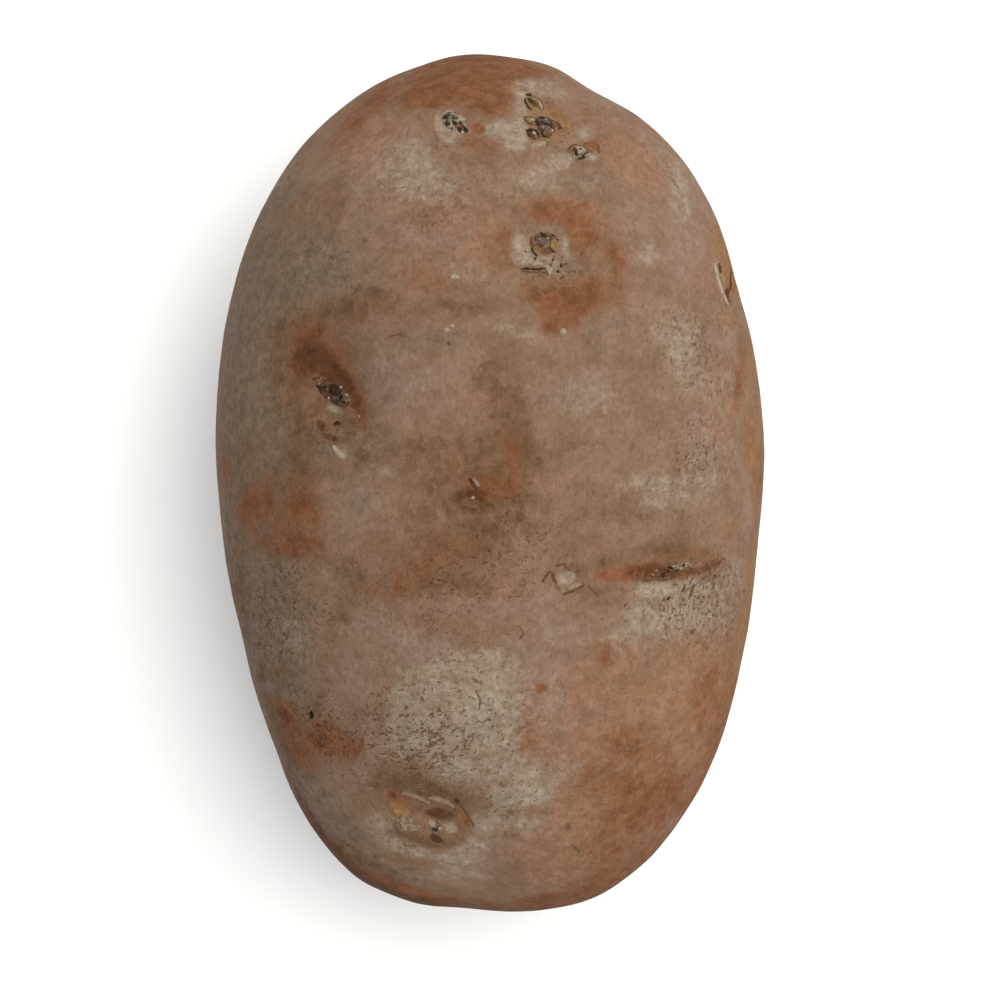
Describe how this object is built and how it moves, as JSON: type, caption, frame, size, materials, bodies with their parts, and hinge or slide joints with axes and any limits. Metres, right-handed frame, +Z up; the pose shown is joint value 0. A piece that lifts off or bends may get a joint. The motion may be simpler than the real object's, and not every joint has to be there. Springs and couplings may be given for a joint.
{
  "type": "potato",
  "caption": "Long oval potato lying on its side, with sunken eyes under low brows, small crumbly buds, broad hollows and a small flat resting spot.",
  "frame": {"origin": "under the middle of the potato, on the surface that it rests on", "axes": "+X across the potato, +Y along it towards the rose end where the eyes crowd together, +Z up"},
  "size_m": [0.07, 0.1096, 0.058],
  "materials": {
    "potato_skin": "matt thin skin, reddish tan with pale scurfy patches and darker russet ones, dark specks and pores"
  },
  "bodies": {
    "root": {"potato": "potato_skin"}
  },
  "joints": []
}
